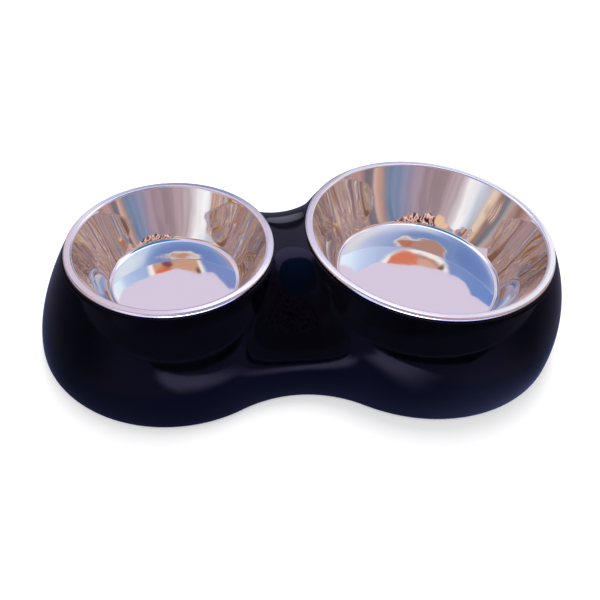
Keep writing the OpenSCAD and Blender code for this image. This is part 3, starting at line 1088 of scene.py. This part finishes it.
def lay(under, over, *shares):
    """Lays a colour over another, as far as the product of some shares says."""
    share = product(*shares)
    return add(share.id_data, "Mix", {0: share, 6: under, 7: over}, data_type="RGBA", out=2)


def painted_cards():
    """Emission of the tent, in layers. A spot's middle and half size are in degrees of
    direction, clockwise from the back, and degrees of elevation."""
    material, tree = new_material("painted_cards")
    mm, turn, degrees, rise = directions(tree)
    depth = add(tree, "LightPath", out="Ray Depth")
    once, again = steps(depth, (1.6, 1.4)), steps(depth, (1.4, 1.6))
    soft = add(tree, "TexNoise", {"Vector": mm, "Scale": 0.012, "Detail": 3.0})
    sway = add(tree, "MapRange", {"Value": soft, "To Min": -SWAY, "To Max": SWAY})
    swayed = add(tree, "Math", {0: turn, 1: sway}, operation="ADD")
    # Streaks change about every 9 degrees of direction and 45 of elevation, and crumbs about
    # every 5 of direction and 6 of elevation
    place = add(tree, "CombineXYZ", {"X": turn, "Y": rise})
    streaks = speckle(place, (40, 0.022), 0.14, 1.5, 0.35)
    crumbs = speckle(place, (75, 0.16), 0.2, 0.5)

    # Stripes of a house front
    stripes = add(tree, "ValToRGB", {"Fac": swayed}, stops=round_turn(STRIPES))
    lit = add(tree, "MapRange", {"Value": streaks, "To Min": 0.86, "To Max": 1.14})
    colour = add(tree, "VectorMath", {0: stripes, "Scale": lit}, operation="SCALE")
    over = past(rise, turn, STRIPES_TO)

    # Small things: over the stripes at the front, and everywhere in the second picture
    warm, rose, dark_and_pale = [
        add(tree, "ValToRGB", {"Fac": noise}, stops=stops)
        for noise, stops in ((streaks, WARM), (streaks, ROSE), (crumbs, CRUMBS))]
    small = lay(warm, rose, spot(degrees, rise, (152, 38), (60, 18), 0.3))
    wall = small
    for shade, share in (
            (dark_and_pale, between(degrees, 135, 201.6, 2.88)),
            ("#e6bf9f", spot(degrees, rise, (211, 34), (12, 7), 0.15)),
            ("#6d739c", spot(degrees, rise, (246, 36), (4, 2.2), 0.2))):
        wall = lay(wall, shade, share)
    ragged = add(tree, "Math", {0: streaks, 1: 3.0, 2: rise}, operation="MULTIPLY_ADD")
    start, end = [past(ragged, turn, line) for line in (DETAILS_FROM, DETAILS_TO)]
    first = product(steps(start, (1.2, 1.8)), between(degrees, 93.6, 262.8, 2.88), once)
    second = product(steps(rise, (5, 9)), between(degrees, 93.6, 302.4, 2.88), again)
    either = add(tree, "Math", {0: first, 1: second}, operation="ADD")

    # Sky at the sides
    sky = add(tree, "ValToRGB", {"Fac": swayed}, stops=round_turn(SKY))
    sky = add(tree, "VectorMath", {0: sky, "Scale": 1.18}, operation="SCALE")
    pale = add(tree, "VectorMath", {0: tone("#e9e4ff")[:3], "Scale": 1.7}, operation="SCALE")
    height = past(rise, turn, SKY_FROM)
    sides, behind = [
        add(tree, "Math", {0: 1.0, 1: between(degrees, *limits)}, operation="SUBTRACT")
        for limits in ((99, 291.6, 2.88), (72, 331.2, 10.8))]
    # The dark place behind the stand crosses the back, so it is placed from the front
    from_front = add(tree, "Math", {0: degrees, 1: 180.0}, operation="ADD")
    from_front = add(tree, "Math", {0: from_front, 1: 360.0}, operation="MODULO")

    # Each layer lies over the ones before it, as far as the product of its shares says
    layers = [
        # Pale sky over the ends of the stripes, small things, and warm ones low at the left
        ("#d0c2d2", steps(over, (-1.5, 1.5)), once),
        (lay(wall, small, again), either, steps(end, (3, -1))),
        (warm, between(degrees, 241.56, 277.2, 1.44), steps(rise, (15, 12)), once),
        # Sky: at the sides, deeper and bright at the right, and over the small things
        (lay("#c9c9ec", sky, again), steps(height, (-1.5, 2)), sides),
        ("#8aa6dc", steps(rise, (57, 68)), between(degrees, 36, 90, 3.6), again),
        ("#f6f8fd", spot(degrees, rise, (62, 41), (19, 9), 0.3), again),
        ("#d8cfe2", steps(end, (-1, 3)), between(degrees, 93.6, 291.6, 3.6)),
        # Behind the stand in the first picture: dark below, bright above, deep blue overhead
        ("#4d4a5a", spot(from_front, rise, (183, 2), (34, 28), 0.25), once),
        (pale, steps(rise, (46, 54)), behind, once),
        ("#2f7fb4", steps(rise, (67, 69)), once),
    ]
    # The arch as the walls show it to the floors: a pale edge round a warm middle
    overhead = product(between(rise, 59, 77, 1), again)
    share_up = add(tree, "Math", {0: rise, 1: 1 / 90}, operation="MULTIPLY")
    for points, side, low, high, ends in ARCHES:
        reach = past(degrees, share_up, points, 90, 360)
        near = between(degrees, *ends, 1.8)
        middle = lay(low, high, steps(rise, (68.5, 69.5)))
        for line, shade in ((ARCH_RIM, "#fffaf2"), (ARCH_INSIDE, middle)):
            inside = (side * (line - ARCH_SOFT), side * (line + ARCH_SOFT))
            layers.append((shade, steps(reach, inside), near, overhead))
    layers.append(("#6f93c4", steps(rise, (78, 81)), again))
    # What the level floors mirror, with the arch hanging from the ground's edge
    for first, last, low, high, edge, stops, patches in FLOOR_VIEWS:
        over = past(rise, turn, edge)
        view = add(tree, "ValToRGB", {"Fac": turn}, stops=round_turn(stops))
        view = lay(view, "#d6cbdf", steps(over, (-0.12, 0.12)))
        layers.append((view, between(degrees, first, last, 0.72),
                       between(rise, low, high, 0.4), once))
        hanging = steps(over, (0.1, -0.1))
        for middle, size, slope, soft, shade in patches:
            shape = spot(degrees, rise, middle, size, soft, slope)
            layers.append((shade, shape, hanging, once))
    # Pale ground near the level. On the floor a card that only reflections see, dark with a
    # violet ring and a blue middle, which the stand's lower walls mirror as a painted dark
    # reflection, and in front a pale tilted band, a painted highlight on the stand's lobes
    card = steps(rise, (-1.5, -3))
    tilted = add(tree, "Math", {0: degrees, 1: -0.151, 2: 40.45}, operation="MULTIPLY_ADD")
    tilted = add(tree, "Math", {0: tilted, 1: rise}, operation="ADD")
    layers += [
        ("#d9d4ea", steps(past(rise, turn, GROUND), (1, -1.5))),
        ("#09090f", card),
        ("#615d78", steps(past(rise, turn, RING, height=-90), (0.8, -0.8)), card),
        ("#4c547b", steps(rise, (-14, -17))),
        ("#f5f2ff", steps(tilted, (-8, -1), (4, 3)),
         steps(degrees, (156.6, 190.8), (212.4, 203.4))),
    ]
    for shade, *shares in layers:
        colour = lay(colour, shade, *shares)

    # The card's front shines more strongly, as the painted reflection and painted highlight that
    # the front of the stand's lobes shows
    front = product(card, between(degrees, 133.2, 237.6, 18))
    strength = add(tree, "MapRange", {
        "Value": front, "To Min": TENT_STRENGTH, "To Max": FRONT_CARD_STRENGTH})
    glow = add(tree, "Emission", {"Color": colour, "Strength": strength})
    add(tree, "OutputMaterial", {"Surface": glow}, out=None)
    return material


def tent():
    """A dome over a level card: a profile out along the floor and up a quarter circle,
    turned about the middle."""
    card = np.linspace((0, CARD_Z), (TENT_R, CARD_Z), CARD_RINGS)
    dome = turn_points(0, CARD_Z, TENT_R, 0, 90, DOME_RINGS)[1:]
    grid = revolve(np.concatenate([card, dome]), 0, 0, 0, TENT_COLUMNS)
    piece = make_piece("reflection_tent", [patch(grid)])
    piece.data.materials.append(painted_cards())
    for kind in ("camera", "diffuse", "transmission", "volume_scatter", "shadow"):
        setattr(piece, "visible_" + kind, False)
    piece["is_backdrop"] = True
    return piece


print("tent of", len(tent().data.polygons), "faces")

# %% [markdown]
# ## Sizes
#
# The box of the scene less the box of the CAD parts is printed, in millimetres.

# %% Sizes
seen_lo, seen_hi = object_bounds()
gaps = [round((a - b) / MM, 2) for a, b in zip((*seen_lo, *seen_hi), (*cad_lo, *cad_hi))]
print("visual box less CAD box, mm:", gaps)
